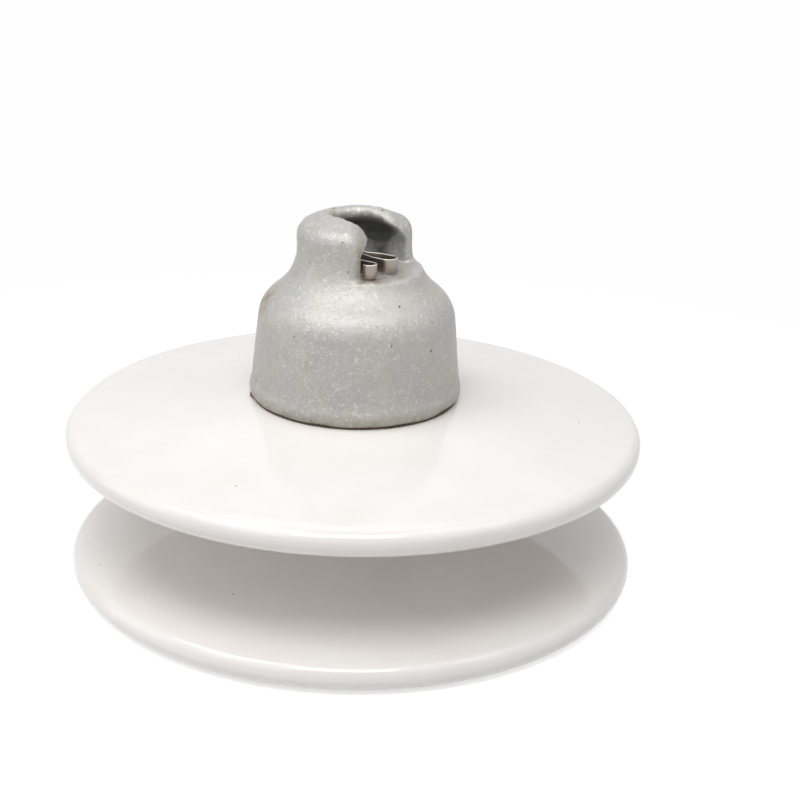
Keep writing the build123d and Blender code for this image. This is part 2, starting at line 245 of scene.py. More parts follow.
@dataclass(frozen=True)
class HotDipZinc:
    """Malleable iron or steel, hot-dip galvanised and dulled by weather.

    The zinc is a light satin grey, clouded blue-grey and warm grey, with a fine curly
    grain that catches the light, small dark pits and brown stains where water stood.
    """

    cool: str = "#B3B4B3"
    warm: str = "#BBB8B2"
    dull: str = "#9F9D98"
    grain: str = "#DEDDD9"
    stain: str = "#8F7C66"
    pit: str = "#5C554C"
    # painted shade of the socket's inside, together with soot
    shade_and_soot: str = "#3F423C"
    metallic: float = 0.4
    roughness: float = 0.47
    roughness_below: float = 0.05
    roughness_above: float = 0.08
    cloud_mm: float = 34.0
    mottle_mm: float = 3.2
    mottle_share: float = 0.4
    # the real grain is about 0.3 mm wide; it is drawn two to three times as wide
    grain_mm: float = 2.4
    grain_break: float = 0.8
    break_from: float = 0.44
    break_to: float = 0.54
    grain_width: float = 0.05
    grain_share: float = 0.55
    grain_lift: float = 0.6
    relief_mm: float = 0.16
    pit_mm: float = 9.0
    pit_width: float = 0.055
    pit_stray_mm: float = 1.2
    shade_and_soot_share: float = 0.8
    stain_core: float = 0.3
    foot_reach: float = 4.5
    foot_depth: float = 1.0

    def curly_grain(
        self, tree: bpy.types.NodeTree, place: bpy.types.NodeSocket
    ) -> bpy.types.NodeSocket:
        """Short curly ridges: broken level lines of a fine noise.

        Args:
            tree: Tree that gets the nodes.
            place: Coordinates in metres.

        Returns:
            1 on a ridge, 0 off it.
        """
        swirl = add_node(
            tree,
            "TexNoise",
            {"Vector": place, "Scale": per_metre(self.grain_mm), "Detail": 1.0, "Distortion": 0.9},
        )
        off = add_node(tree, "Math", {0: swirl.outputs[0], 1: 0.5}, operation="SUBTRACT")
        away = add_node(tree, "Math", {0: off.outputs[0]}, operation="ABSOLUTE")
        line = add_node(
            tree,
            "MapRange",
            {"Value": away.outputs[0], "From Min": self.grain_width, "From Max": 0.0},
        )
        breaks = add_node(
            tree,
            "TexNoise",
            {"Vector": place, "Scale": per_metre(self.grain_mm * self.grain_break)},
        )
        kept = add_node(
            tree,
            "MapRange",
            {
                "Value": breaks.outputs[0],
                "From Min": self.break_from,
                "From Max": self.break_to,
            },
        )
        return add_node(
            tree, "Math", {0: line.outputs[0], 1: kept.outputs[0]}, operation="MULTIPLY"
        ).outputs[0]

    def pits(
        self, tree: bpy.types.NodeTree, place: bpy.types.NodeSocket
    ) -> bpy.types.NodeSocket:
        """Small pits of uneven outline.

        Args:
            tree: Tree that gets the nodes.
            place: Coordinates in metres.

        Returns:
            1 in a pit, 0 outside.
        """
        shaken = add_node(
            tree, "TexNoise", {"Vector": place, "Scale": per_metre(self.pit_stray_mm)}
        )
        stray = (self.pit_stray_mm * MM,) * 3
        strayed = add_node(
            tree,
            "VectorMath",
            {0: shaken.outputs["Color"], 1: stray, 2: place},
            operation="MULTIPLY_ADD",
        )
        cells = add_node(
            tree,
            "TexVoronoi",
            {"Vector": strayed.outputs[0], "Scale": per_metre(self.pit_mm)},
        )
        return add_node(
            tree,
            "Math",
            {0: cells.outputs["Distance"], 1: self.pit_width},
            operation="LESS_THAN",
        ).outputs[0]

    def pocket_shade_and_soot(
        self, tree: bpy.types.NodeTree, place: bpy.types.NodeSocket, inside: Pocket
    ) -> bpy.types.NodeSocket:
        """How much the zinc inside the socket is darkened: painted shade of the recess together
        with soot where it was never wiped, darker deeper inside.

        Args:
            tree: Tree that gets the nodes.
            place: Coordinates in metres.
            inside: Limits of the socket.

        Returns:
            The share of painted shade and soot inside the socket, 0 outside.
        """
        parts = add_node(tree, "SeparateXYZ", {0: place}).outputs
        flat = add_node(
            tree, "VectorMath", {0: place, 1: (1.0, 1.0, 0.0)}, operation="MULTIPLY"
        )
        radius = add_node(tree, "VectorMath", {0: flat.outputs[0]}, operation="LENGTH")
        limits = (
            (radius.outputs["Value"], inside.radius + inside.wall_fade, inside.radius),
            (parts["Y"], inside.front, inside.front + inside.front_fade),
            (parts["Z"], inside.top, inside.top - inside.top_fade),
            (parts["Z"], inside.floor, inside.floor + inside.floor_fade),
        )
        total = self.shade_and_soot_share
        for value, start, end in limits:
            share = add_node(
                tree,
                "MapRange",
                {"Value": value, "From Min": start * MM, "From Max": end * MM},
            )
            total = add_node(
                tree, "Math", {0: total, 1: share.outputs[0]}, operation="MULTIPLY"
            ).outputs[0]
        return total

    def worn_places(
        self,
        tree: bpy.types.NodeTree,
        place: bpy.types.NodeSocket,
        mottle: bpy.types.NodeSocket,
        stains: list[tuple[Vector, float]],
        foot_z: float | None,
    ) -> list[bpy.types.NodeSocket]:
        """Patchy stains, in round places and along the lower edge.

        Args:
            tree: Tree that gets the nodes.
            place: Coordinates in metres.
            mottle: Noise that breaks the stains up.
            stains: Centres and radii of the round places, in metres.
            foot_z: Height of the stained lower edge in millimetres, or None.

        Returns:
            For each place, 0 outside it and up to 1 inside.
        """
        patches = add_node(
            tree,
            "MapRange",
            {"Value": mottle, "From Min": 0.4, "From Max": 0.62, "To Min": 0.1, "To Max": 0.85},
        )
        ranges = []
        for centre, radius in stains:
            away = add_node(tree, "VectorMath", {0: place, 1: centre}, operation="DISTANCE")
            ranges.append((away.outputs["Value"], radius, radius * self.stain_core))
        if foot_z is not None:
            height = add_node(tree, "SeparateXYZ", {0: place}).outputs["Z"]
            edge = (foot_z + self.foot_reach) * MM
            ranges.append((height, edge, (foot_z - self.foot_depth) * MM))
        worn = []
        for value, start, end in ranges:
            near = add_node(
                tree, "MapRange", {"Value": value, "From Min": start, "From Max": end}
            )
            broken = add_node(
                tree, "Math", {0: near.outputs[0], 1: patches.outputs[0]}, operation="MULTIPLY"
            )
            worn.append(broken.outputs[0])
        return worn

    def build(
        self,
        name: str,
        stains: list[tuple[Vector, float]],
        inside: Pocket | None = None,
        foot_z: float | None = None,
    ) -> bpy.types.Material:
        """Build the finish.

        Args:
            name: Name of the material.
            stains: Centres and radii of the stained places, in metres.
            inside: Limits of the socket's painted shade and soot, or None.
            foot_z: Height of the stained lower edge in millimetres, or None.

        Returns:
            The material.
        """
        material, tree, shader = new_material(name)
        place = add_node(tree, "TexCoord").outputs["Object"]
        cloud = add_node(
            tree, "TexNoise", {"Vector": place, "Scale": per_metre(self.cloud_mm), "Detail": 4.0}
        )
        mottle = add_node(
            tree,
            "TexNoise",
            {
                "Vector": place,
                "Scale": per_metre(self.mottle_mm),
                "Detail": 6.0,
                "Roughness": 0.65,
            },
        ).outputs[0]
        tint = add_node(
            tree,
            "ValToRGB",
            {"Fac": cloud.outputs[0]},
            [(0.38, self.cool), (0.5, self.warm), (0.64, self.cool)],
        )
        spotted = add_node(
            tree, "ValToRGB", {"Fac": mottle}, [(0.34, self.dull), (0.66, self.warm)]
        )
        grain = self.curly_grain(tree, place)
        shine = add_node(tree, "Math", {0: grain, 1: self.grain_share}, operation="MULTIPLY")
        pitted = self.pits(tree, place)
        layers = [
            (self.mottle_share, spotted.outputs[0]),
            (shine.outputs[0], linear(self.grain)),
        ]
        for worn in self.worn_places(tree, place, mottle, stains, foot_z):
            layers.append((worn, linear(self.stain)))
        # painted shade and soot: the zinc gets darker deeper inside the socket
        if inside is not None:
            layers.append((self.pocket_shade_and_soot(tree, place, inside), linear(self.shade_and_soot)))
        layers.append((pitted, linear(self.pit)))
        colour = tint.outputs[0]
        for factor, over in layers:
            colour = add_node(
                tree, "Mix", {"Factor": factor, "A": colour, "B": over}, data_type="RGBA"
            ).outputs["Result"]
        ridged = add_node(
            tree, "Math", {0: grain, 1: self.grain_lift, 2: mottle}, operation="MULTIPLY_ADD"
        )
        sunk = add_node(tree, "Math", {0: ridged.outputs[0], 1: pitted}, operation="SUBTRACT")
        bump = add_node(
            tree,
            "Bump",
            {"Strength": 1.0, "Distance": self.relief_mm * MM, "Height": sunk.outputs[0]},
        )
        rough = add_node(
            tree,
            "MapRange",
            {
                "Value": mottle,
                "From Min": 0.3,
                "From Max": 0.7,
                "To Min": self.roughness - self.roughness_below,
                "To Max": self.roughness + self.roughness_above,
            },
        )
        shader.inputs["Metallic"].default_value = self.metallic
        tree.links.new(colour, shader.inputs["Base Color"])
        tree.links.new(rough.outputs[0], shader.inputs["Roughness"])
        tree.links.new(bump.outputs[0], shader.inputs["Normal"])
        return material


@dataclass(frozen=True)
class StainlessStrip:
    """Cold-rolled stainless strip, sheared to width.

    The faces are dull and brownish with fine lines along the strip, and the sheared
    edges are bright.
    """

    face: str = "#A39A91"
    edge: str = "#DAD7D3"
    roughness: float = 0.36
    # the real lines are finer; they are drawn as coarse as they need to show
    line_mm: float = 0.35
    line_squeeze: float = 0.12
    line_strength: float = 0.3
    line_depth_mm: float = 0.02
    face_slope: float = 0.25
    edge_slope: float = 0.8

    def build(self) -> bpy.types.Material:
        """Build the finish.

        Returns:
            The material.
        """
        material, tree, shader = new_material("stainless_strip")
        place = add_node(tree, "TexCoord").outputs["Object"]
        squeeze = (self.line_squeeze, self.line_squeeze, 1.0)
        stretched = add_node(tree, "Mapping", {"Vector": place, "Scale": squeeze})
        rolled = add_node(
            tree,
            "TexNoise",
            {"Vector": stretched.outputs[0], "Scale": per_metre(self.line_mm), "Detail": 2.0},
        )
        normal = add_node(tree, "NewGeometry").outputs["Normal"]
        upright = add_node(tree, "SeparateXYZ", {0: normal}).outputs["Z"]
        level = add_node(tree, "Math", {0: upright}, operation="ABSOLUTE")
        sheared = add_node(
            tree,
            "MapRange",
            {
                "Value": level.outputs[0],
                "From Min": self.face_slope,
                "From Max": self.edge_slope,
            },
        )
        colour = add_node(
            tree,
            "Mix",
            {"Factor": sheared.outputs[0], "A": linear(self.face), "B": linear(self.edge)},
            data_type="RGBA",
        )
        bump = add_node(
            tree,
            "Bump",
            {
                "Strength": self.line_strength,
                "Distance": self.line_depth_mm * MM,
                "Height": rolled.outputs[0],
            },
        )
        shader.inputs["Metallic"].default_value = 1.0
        shader.inputs["Roughness"].default_value = self.roughness
        tree.links.new(colour.outputs["Result"], shader.inputs["Base Color"])
        tree.links.new(bump.outputs[0], shader.inputs["Normal"])
        return material


@dataclass(frozen=True)
class GrainyFinish:
    """A matt finish with two tones and a grain: felt, cement or rubber."""

    name: str
    light: str
    dark: str
    grain_mm: float
    relief_mm: float
    roughness: float
    strength: float = 0.8

    def build(self) -> bpy.types.Material:
        """Build the finish.

        Returns:
            The material.
        """
        material, tree, shader = new_material(self.name)
        place = add_node(tree, "TexCoord").outputs["Object"]
        grain = add_node(
            tree,
            "TexNoise",
            {"Vector": place, "Scale": per_metre(self.grain_mm), "Detail": 5.0},
        )
        colour = add_node(
            tree, "ValToRGB", {"Fac": grain.outputs[0]}, [(0.32, self.dark), (0.68, self.light)]
        )
        bump = add_node(
            tree,
            "Bump",
            {
                "Strength": self.strength,
                "Distance": self.relief_mm * MM,
                "Height": grain.outputs[0],
            },
        )
        shader.inputs["Roughness"].default_value = self.roughness
        tree.links.new(colour.outputs[0], shader.inputs["Base Color"])
        tree.links.new(bump.outputs[0], shader.inputs["Normal"])
        return material


# impregnated felt: brown, fibrous and quite matt
GASKET_FELT = GrainyFinish("gasket_felt", "#75685A", "#40362D", 0.9, 0.15, 0.92)
# portland cement with sand: pale grey and gritty
NEAT_CEMENT = GrainyFinish("cement", "#B3B0A8", "#8C8981", 0.8, 0.12, 0.88)
# synthetic rubber pads: black with a grey bloom
PAD_RUBBER = GrainyFinish("pad_rubber", "#3A3A3A", "#242424", 2.0, 0.05, 0.7)


# ---- mesh helpers -----------------------------------------------------------------------


def rounded(
    points: list[tuple[float, float]], radii: list[float], step: float
) -> list[tuple[float, float]]:
    """Round the inner corners of a polyline with tangent arcs.

    Args:
        points: Corners of the line.
        radii: Radius at each inner corner, 0 for a sharp one.
        step: Largest length of a piece of an arc.

    Returns:
        Points along the rounded line.
    """
    line = [Vector(p) for p in points]
    made = [line[0]]
    for before, corner, after, radius in zip(line, line[1:], line[2:], radii):
        to_before = (before - corner).normalized()
        to_after = (after - corner).normalized()
        opening = to_before.angle(to_after)
        if radius <= 0 or opening > math.pi - 1e-4:
            made.append(corner)
            continue
        reach = radius / math.tan(opening / 2)
        start = corner + to_before * reach
        middle = corner + (to_before + to_after).normalized() * (radius / math.sin(opening / 2))
        sweep = math.pi - opening
        count = max(2, math.ceil(radius * sweep / step))
        turn = to_before.x * to_after.y - to_before.y * to_after.x
        sign = -1.0 if turn > 0 else 1.0
        spoke = start - middle
        for i in range(count + 1):
            angle = sign * sweep * i / count
            c, s = math.cos(angle), math.sin(angle)
            made.append(middle + Vector((c * spoke.x - s * spoke.y, s * spoke.x + c * spoke.y)))
    made.append(line[-1])
    return [tuple(p) for p in made]


def arc(
    centre: tuple[float, float], radius: float, start: float, end: float, count: int
) -> list[tuple[float, float]]:
    """Points of a circular arc.

    Args:
        centre: Centre of the arc.
        radius: Its radius.
        start: First angle in degrees.
        end: Last angle in degrees.
        count: Number of pieces.

    Returns:
        Points from the first angle to the last.
    """
    made = []
    for i in range(count + 1):
        angle = math.radians(start + (end - start) * i / count)
        made.append(
            (centre[0] + radius * math.cos(angle), centre[1] + radius * math.sin(angle))
        )
    return made


def refined(points: list[tuple[float, float]], step: float) -> list[tuple[float, float]]:
    """Add points so that no piece of a line is longer than step.

    Args:
        points: The line.
        step: Largest length of a piece.

    Returns:
        The line with the added points.
    """
    made = [points[0]]
    for a, b in zip(points, points[1:]):
        count = max(1, math.ceil(math.dist(a, b) / step))
        for i in range(1, count + 1):
            t = i / count
            made.append((a[0] + (b[0] - a[0]) * t, a[1] + (b[1] - a[1]) * t))
    return made


def mesh_object(name: str, bm: bmesh.types.BMesh, crease_deg: float) -> bpy.types.Object:
    """Turn a bmesh in millimetres into a smooth-shaded object in metres.

    Args:
        name: Name of the piece.
        bm: The mesh, which is freed.
        crease_deg: Angle above which an edge stays sharp.

    Returns:
        The new object.
    """
    bmesh.ops.remove_doubles(bm, verts=bm.verts, dist=1e-4)
    bmesh.ops.recalc_face_normals(bm, faces=bm.faces)
    bmesh.ops.scale(bm, vec=(MM, MM, MM), verts=bm.verts)
    mesh = bpy.data.meshes.new(name)
    bm.to_mesh(mesh)
    bm.free()
    mesh.shade_smooth()
    mesh.set_sharp_from_angle(angle=math.radians(crease_deg))
    piece = bpy.data.objects.new(name, mesh)
    bpy.context.scene.collection.objects.link(piece)
    return piece


def lathe(
    name: str, profile: list[tuple[float, float]], segments: int, crease_deg: float = 40.0
) -> bpy.types.Object:
    """Turn a profile round the axis into a closed piece.

    Args:
        name: Name of the piece.
        profile: Radius and height, in millimetres. Both ends are on the axis, or the
            last point meets the first.
        segments: Number of steps round the axis.
        crease_deg: Angle above which an edge stays sharp.

    Returns:
        The new object.
    """
    bm = bmesh.new()
    rings = []
    for r, z in profile:
        if r < 1e-6:
            rings.append([bm.verts.new((0, 0, z))] * segments)
            continue
        ring = []
        for i in range(segments):
            angle = 2 * math.pi * i / segments
            ring.append(bm.verts.new((r * math.cos(angle), r * math.sin(angle), z)))
        rings.append(ring)
    for a, b in zip(rings, rings[1:]):
        for i in range(segments):
            j = (i + 1) % segments
            corners = list(dict.fromkeys((a[i], a[j], b[j], b[i])))
            if len(corners) > 2:
                bm.faces.new(corners)
    return mesh_object(name, bm, crease_deg)


def join_rings(bm: bmesh.types.BMesh, rings: list[list[bmesh.types.BMVert]]) -> None:
    """Join closed rings of equal count into a tube and close both of its ends.

    Args:
        bm: The mesh.
        rings: Corners of each ring, in order along the tube.
    """
    for a, b in zip(rings, rings[1:]):
        for i in range(len(a)):
            j = (i + 1) % len(a)
            bm.faces.new((a[i], a[j], b[j], b[i]))
    bm.faces.new(rings[0])
    bm.faces.new(rings[-1][::-1])


def dress(
    piece: bpy.types.Object,
    material: bpy.types.Material,
    body: Body,
    node: str | None = None,
) -> None:
    """Give a piece its finish, its body and the solid that it stands for.

    Args:
        piece: The piece.
        material: Its finish.
        body: Body that it moves with.
        node: Solid that it stands for, or None if the piece is that solid.
    """
    piece.data.materials.clear()
    piece.data.materials.append(material)
    if node is not None:
        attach(piece, body.value)
        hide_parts(node)
    log.info("%s: %d faces, %s", piece.name, len(piece.data.polygons), material.name)


# ---- porcelain --------------------------------------------------------------------------


@dataclass
class PorcelainShell:
    """Head, two sheds and bore, turned and fired in one piece."""

    upper_rim_z: float = 65.4
    lower_rim_z: float = 7.4
    lower_shed_r: float = 126.5
    rim_rounding: float = 5.75
    slope_deg: float = 7.0
    neck_r: float = 49.0
    neck_fillets: tuple[float, float] = (20.0, 22.0)
    head_r: float = 30.5
    head_top_z: float = 129.4
    head_fillets: tuple[float, float] = (13.0, 10.0)
    bore_r: float = 17.5
    bore_top_z: float = 118.9
    bore_fillet: float = 5.0
    hollow_r: float = 42.0
    hollow_mouth_r: float = 52.0
    hollow_top_z: float = 29.65
    hollow_fillet: float = 7.0
    bore_lip_fillet: float = 2.0
    segments: int = 360
    rim_pieces: int = 20
    arc_step: float = 1.5
    inside_step: float = 0.8
    piece_step: float = 4.0

    def surface_z(self, rim_z: float, shed_r: float, r: float, side: int) -> float:
        """Height of a shed's sloping surface.

        Args:
            rim_z: Height of the rim's middle.
            shed_r: Radius of the shed.
            r: Radius asked for.
            side: 1 for the top, -1 for the underside.

        Returns:
            Height at that radius.
        """
        slope = math.radians(self.slope_deg)
        start_r = shed_r - self.rim_rounding + side * self.rim_rounding * math.sin(slope)
        start_z = rim_z + side * self.rim_rounding * math.cos(slope)
        return start_z + (start_r - r) * math.tan(slope)

    def rim(self, rim_z: float, shed_r: float) -> list[tuple[float, float]]:
        """Points of a rim's half-round edge, from its top to its underside."""
        centre = (shed_r - self.rim_rounding, rim_z)
        top, underside = 90 - self.slope_deg, -90 - self.slope_deg
        return arc(centre, self.rim_rounding, top, underside, self.rim_pieces)

    def profile(self, upper_shed_r: float) -> list[tuple[float, float]]:
        """Outline from the top of the head down, under and up the bore.

        Args:
            upper_shed_r: Radius of the upper shed.

        Returns:
            Radius and height of each point.
        """
        upper = self.rim(self.upper_rim_z, upper_shed_r)
        lower = self.rim(self.lower_rim_z, self.lower_shed_r)
        upper_z, lower_z, lower_r = self.upper_rim_z, self.lower_rim_z, self.lower_shed_r
        head = rounded(
            [
                (0, self.head_top_z),
                (self.head_r, self.head_top_z),
                (self.head_r, self.surface_z(upper_z, upper_shed_r, self.head_r, 1)),
                upper[0],
            ],
            list(self.head_fillets),
            self.arc_step,
        )
        waist = rounded(
            [
                upper[-1],
                (self.neck_r, self.surface_z(upper_z, upper_shed_r, self.neck_r, -1)),
                (self.neck_r, self.surface_z(lower_z, lower_r, self.neck_r, 1)),
                lower[0],
            ],
            list(self.neck_fillets),
            self.arc_step,
        )
        inside = rounded(
            [
                lower[-1],
                (
                    self.hollow_mouth_r,
                    self.surface_z(lower_z, lower_r, self.hollow_mouth_r, -1),
                ),
                (self.hollow_r, self.hollow_top_z),
                (self.bore_r, self.hollow_top_z),
                (self.bore_r, self.bore_top_z),
                (0, self.bore_top_z),
            ],
            [self.hollow_fillet, self.hollow_fillet, self.bore_lip_fillet, self.bore_fillet],
            self.inside_step,
        )
        return head + upper[1:-1] + waist + lower[1:-1] + inside

    def build(self) -> bpy.types.Object:
        """Build and dress the porcelain.

        Returns:
            The new piece.
        """
        low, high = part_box("shell")
        upper_shed_r = min(high.x, high.y, -low.x, -low.y) / MM
        profile = refined(self.profile(upper_shed_r), self.piece_step)
        piece = lathe("porcelain_sheds", profile, self.segments, 60.0)
        dress(piece, GlazedPorcelain().build(), Body.UNIT, "shell")
        return piece


# ---- cap --------------------------------------------------------------------------------


SMOOTHING_PASSES = 4
SMOOTHING_SHARE = 0.5


def skin_of(node: str, name: str, voxel: float) -> bpy.types.Object:
    """Copy a solid as an even mesh of small quads, with its edges just broken.

    Args:
        node: The solid's name.
        name: Name of the copy.
        voxel: Size of the quads in millimetres.

    Returns:
        The new object.
    """
    blank = bpy.data.objects.new(name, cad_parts[node].data.copy())
    bpy.context.scene.collection.objects.link(blank)
    modifier = blank.modifiers.new("skin", "REMESH")
    modifier.mode = "VOXEL"
    modifier.voxel_size = voxel * MM
    graph = bpy.context.evaluated_depsgraph_get()
    skin = bpy.data.meshes.new_from_object(blank.evaluated_get(graph))
    blank.modifiers.clear()
    blank.data = skin
    bm = bmesh.new()
    bm.from_mesh(skin)
    for _ in range(SMOOTHING_PASSES):
        bmesh.ops.smooth_vert(
            bm,
            verts=bm.verts,
            factor=SMOOTHING_SHARE,
            use_axis_x=True,
            use_axis_y=True,
            use_axis_z=True,
        )
    bm.to_mesh(skin)
    bm.free()
    skin.shade_smooth()
    return blank


@dataclass
class CastCap:
    """Cast bell with the ball socket in its head, softened and roughened by its zinc."""

    voxel: float = 0.75
    lump_mm: float = 15.0
    lump_height: float = 0.28
    ripple_mm: float = 4.5
    ripple_height: float = 0.09
    rough_mm: float = 2.6
    rough_height: float = 0.3
    mouth_squeeze: float = 0.3
    pocket_r: float = 17.4
    floor_z: float = 139.4
    floor_clear: float = 1.0
    channel_top_z: float = 146.3
    window_half: float = 11.75
    channel_half: float = 17.25
    channel_back: float = 13.0
    channel_margin: float = 0.8
    channel_ease: float = 0.45
    rim_z: float = 82.5
    rim_wave: float = 0.9
    rim_sag: float = 1.0
    rim_reach: float = 7.0
    rim_inner_r: float = 43.0
    rim_ripples: float = 3.4
    rim_seed: float = 7.3

    def stains(self) -> list[tuple[Vector, float]]:
        """Places where water stood, as centres and radii in metres."""
        marks = [
            ((-17.5, -13.5, 151.0), 5.5),
            ((-15.0, -14.0, 157.0), 4.5),
            ((-18.0, -14.0, 145.0), 5.5),
            ((-20.0, -16.0, 140.0), 4.5),
            ((-13.0, -20.0, 138.5), 6.0),
            ((-3.0, -22.0, 138.5), 5.0),
            ((-28.0, 30.0, 126.0), 11.0),
        ]
        return [(Vector(centre) * MM, radius * MM) for centre, radius in marks]

    def relief(self, place: Vector) -> float:
        """Height of the casting's unevenness at a place, in millimetres.

        Args:
            place: The place, in millimetres.

        Returns:
            Height along the surface's normal.
        """
        height = self.lump_height * noise.noise(place / self.lump_mm)
        height += self.ripple_height * noise.noise(place / self.ripple_mm)
        inside = math.hypot(place.x, min(place.y, 0) * self.mouth_squeeze) < self.pocket_r
        if inside and place.z > self.floor_z + self.floor_clear:
            height += self.rough_height * noise.noise(place / self.rough_mm)
        if self.in_channel(place):
            height = min(height, 0.0) - self.channel_ease
        return height

    def in_channel(self, place: Vector) -> bool:
        """Whether a place is on the walls of the channel in which the clip slides.

        Args:
            place: The place, in millimetres.

        Returns:
            True on its floor, walls and roof, and on the mouth's floor.
        """
        margin = self.channel_margin
        if not self.floor_z - margin < place.z < self.channel_top_z + margin:
            return False
        if math.hypot(place.x, place.y) < self.pocket_r + margin:
            return True
        if place.y > self.channel_back + margin:
            return abs(place.x) < self.window_half + margin
        if abs(place.x) > self.channel_half + margin:
            return False
        return place.y > 0 or place.z < self.floor_z + margin

    def rim_drop(self, place: Vector) -> float:
        """How far the zinc's wavy lower edge hangs at a place, in millimetres.

        Args:
            place: The place, in millimetres.

        Returns:
            Drop, downwards.
        """
        share = 1 - (place.z - self.rim_z) / self.rim_reach
        if share <= 0 or math.hypot(place.x, place.y) < self.rim_inner_r:
            return 0.0
        angle = math.atan2(place.y, place.x)
        around = Vector(
            (math.cos(angle) * self.rim_ripples, math.sin(angle) * self.rim_ripples, self.rim_seed)
        )
        return share * (self.rim_sag + self.rim_wave * noise.noise(around))

    def build(self) -> bpy.types.Object:
        """Build and dress the cap.

        Returns:
            The new piece.
        """
        piece = skin_of("cap", "cast_cap", self.voxel)
        mesh = piece.data
        count = len(mesh.vertices)
        places = np.empty(count * 3)
        normals = np.empty(count * 3)
        mesh.vertices.foreach_get("co", places)
        mesh.vertex_normals.foreach_get("vector", normals)
        places = places.reshape(-1, 3) / MM
        normals = normals.reshape(-1, 3)
        for i, point in enumerate(places):
            place = Vector(point)
            places[i] += normals[i] * self.relief(place)
            places[i][2] -= self.rim_drop(place)
        mesh.vertices.foreach_set("co", (places * MM).ravel())
        mesh.update()
        finish = HotDipZinc().build("galvanised_iron", self.stains(), Pocket(), self.rim_z)
        dress(piece, finish, Body.UNIT, "cap")
        return piece


# ---- locking clip -----------------------------------------------------------------------


@dataclass
class LockingClip:
    """Stainless strip bent on edge into a W, with one end curled and one end short."""

    strip: float = 1.1
    corner: float = 0.28
    tip: float = 19.7
    loop_width: float = 8.6
    loop_start: float = 9.5
    neck_width: float = 4.4
    neck_start: float = 3.5
    neck_bend: float = 5.0
    leg_spread: float = 22.3
    curl_width: float = 6.9
    curl_tip: float = 18.3
    curl_end: float = 13.9
    short_end: float = 10.0
    back: float = 26.2
    turn_slack: float = 0.05
    arc_step: float = 0.25
    piece_step: float = 1.2

    def path(self) -> list[tuple[float, float]]:
        """Centre line of the strip, seen from above.

        Returns:
            Points from the end of the curl to the end of the short leg.
        """
        half = self.strip / 2
        neck_x = self.neck_width / 2 - half
        loop_x = self.loop_width / 2 - half
        leg_x = self.leg_spread / 2 - half
        curl_x = leg_x + self.curl_width - self.strip
        tip_y = half - self.tip
        curl_y = half - self.curl_tip
        back_y = self.back - half
        corners = [
            (-curl_x, -self.curl_end),
            (-curl_x, curl_y),
            (-leg_x, curl_y),
            (-leg_x, back_y),
            (-neck_x, back_y),
            (-neck_x, -self.neck_start),
            (-loop_x, -self.loop_start),
            (-loop_x, tip_y),
            (loop_x, tip_y),
            (loop_x, -self.loop_start),
            (neck_x, -self.neck_start),
            (neck_x, back_y),
            (leg_x, back_y),
            (leg_x, self.short_end),
        ]
        curl = (curl_x - leg_x) / 2 - self.turn_slack
        rear = (leg_x - neck_x) / 2 - self.turn_slack
        loop = loop_x - self.turn_slack
        neck = self.neck_bend
        turns = [curl, curl, rear, rear, neck, neck, loop, loop, neck, neck, rear, rear]
        return refined(rounded(corners, turns, self.arc_step), self.piece_step)

    def section(self, height: float) -> list[tuple[float, float]]:
        """Outline of the strip with its corners broken, across and up.

        Args:
            height: Height of the strip.

        Returns:
            Points of the outline.
        """
        x = self.strip / 2 - self.corner
        z = height / 2 - self.corner
        made = []
        for cx, cz, start in ((x, z, 0), (-x, z, 90), (-x, -z, 180), (x, -z, 270)):
            made += arc((cx, cz), self.corner, start, start + 90, 3)
        return made

    def build(self) -> bpy.types.Object:
        """Build and dress the clip.

        Returns:
            The new piece.
        """
        low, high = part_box("locking_clip")
        middle = (low.z + high.z) / 2 / MM
        path = self.path()
        section = self.section((high.z - low.z) / MM)
        bm = bmesh.new()
        rings = []
        for i, point in enumerate(path):
            before, after = path[max(i - 1, 0)], path[min(i + 1, len(path) - 1)]
            along = (Vector(after) - Vector(before)).normalized()
            across = Vector((-along.y, along.x))
            rings.append(
                [
                    bm.verts.new((point[0] + across.x * u, point[1] + across.y * u, middle + v))
                    for u, v in section
                ]
            )
        join_rings(bm, rings)
        piece = mesh_object("clip_strip", bm, 50.0)
        dress(piece, StainlessStrip().build(), Body.CLIP, "locking_clip")
        return piece


# ---- gasket -----------------------------------------------------------------------------


